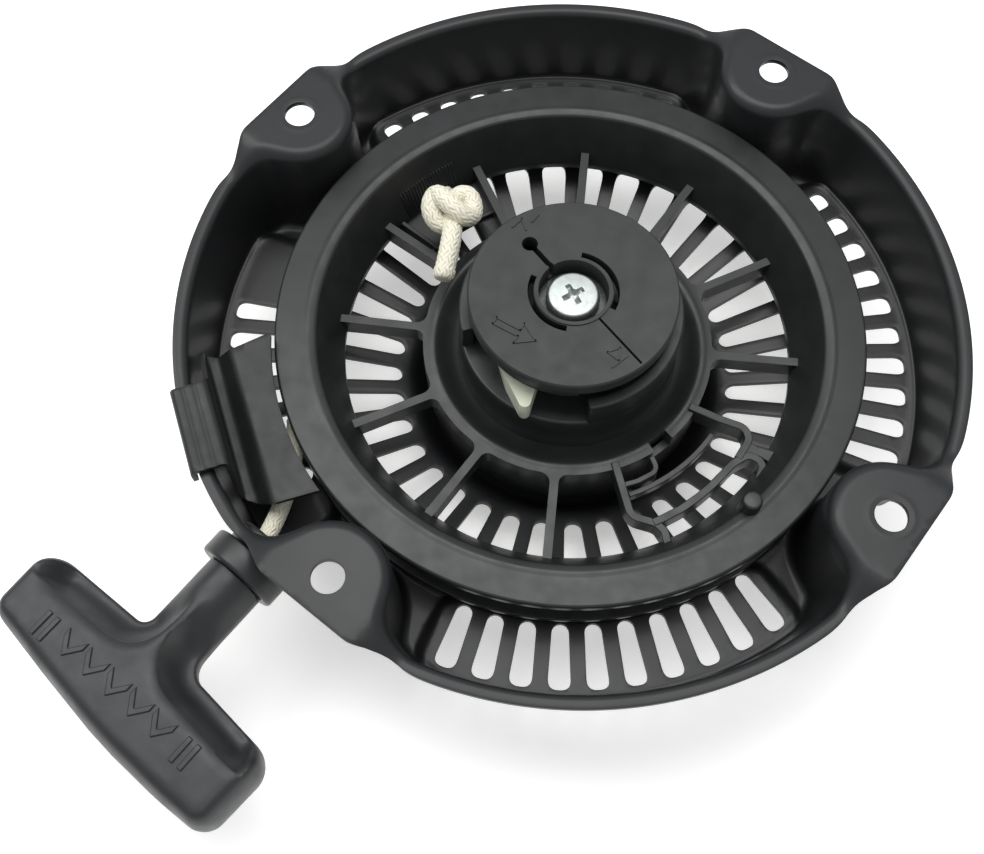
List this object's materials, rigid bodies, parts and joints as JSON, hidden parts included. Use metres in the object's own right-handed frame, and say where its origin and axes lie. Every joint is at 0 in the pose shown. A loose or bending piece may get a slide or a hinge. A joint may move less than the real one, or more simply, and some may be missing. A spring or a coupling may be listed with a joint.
{
  "type": "recoil starter",
  "caption": "Pull-rope recoil starter: slotted round steel case with mounting ears, rope reel on a spindle, sprung drive pawls under a guide disc, and a T handle.",
  "frame": {"origin": "centre of the circle of four mounting holes, in the plane of the ears' faces", "axes": "+Z out of the open side of the case, to the engine; +X to the right seen from +Z with the handle at lower left"},
  "size_m": [0.2318, 0.2183, 0.0539],
  "materials": {
    "case_paint": "black paint, satin to gloss",
    "guard_paint": "thin black coating, satin",
    "reel_plastic": "black moulded nylon, satin",
    "guide_plastic": "dark grey moulded plastic, matte",
    "bush_plastic": "black moulded plastic",
    "grip_plastic": "charcoal moulded plastic, fine grain",
    "pawl_nylon": "natural white nylon, slightly translucent",
    "rope": "braided cream polyester",
    "zinc_plate": "bright zinc plate",
    "spring_steel": "blued spring steel, oiled",
    "turned_steel": "turned steel"
  },
  "bodies": {
    "case": {"case": "case_paint", "rope_bush": "bush_plastic", "rope_guard": "guard_paint", "spindle": "turned_steel", "centre_screw": "zinc_plate", "friction_washer": "zinc_plate", "reel_washer": "zinc_plate", "friction_spring": "spring_steel", "spiral_spring": "spring_steel", "spring_anchor": "turned_steel", "rope_lead": "rope"},
    "reel": {"reel": "reel_plastic", "rope_windings": "rope", "rope_feed": "rope", "reel_knot": "rope", "pawl_pin_a": "turned_steel", "pawl_pin_b": "turned_steel", "pawl_spring_a": "spring_steel", "pawl_spring_b": "spring_steel"},
    "pawl_a": {"pawl_a": "pawl_nylon"},
    "pawl_b": {"pawl_b": "pawl_nylon"},
    "guide": {"ratchet_guide": "guide_plastic"},
    "handle": {"handle_grip": "grip_plastic", "handle_rope": "rope", "handle_knot": "rope", "handle_insert": "zinc_plate"}
  },
  "joints": [
    {"name": "reel_spin", "type": "hinge", "parent": "case", "child": "reel", "pos_m": [0, 0, 0], "axis": [0, 0, 1], "range_deg": [0, 990], "stiffness_Nm_per_rad": 0.04, "springref_deg": -687.55, "deforming": ["spiral_spring"]},
    {"name": "handle_pull", "type": "slide", "parent": "case", "child": "handle", "axis": [-0.6293, -0.7771, 0], "range_m": [0, 1.158]},
    {"name": "guide_turn", "type": "hinge", "parent": "reel", "child": "guide", "pos_m": [0, 0, 0], "axis": [0, 0, -1], "range_deg": [0, 30], "stiffness_Nm_per_rad": 0.004, "springref_deg": -45.84},
    {"name": "pawl_a_swing", "type": "hinge", "parent": "reel", "child": "pawl_a", "pos_m": [-0.0145, -0.0095, 0], "axis": [0, 0, -1], "range_deg": [0, 24]},
    {"name": "pawl_b_swing", "type": "hinge", "parent": "reel", "child": "pawl_b", "pos_m": [0.0145, 0.0095, 0], "axis": [0, 0, -1], "range_deg": [0, 24]}
  ],
  "couplings": [
    {"joint": "handle_pull", "follows": "reel_spin", "m_per_rad": 0.067},
    {"joint": "pawl_a_swing", "follows": "guide_turn", "ratio": 0.8},
    {"joint": "pawl_b_swing", "follows": "guide_turn", "ratio": 0.8}
  ]
}
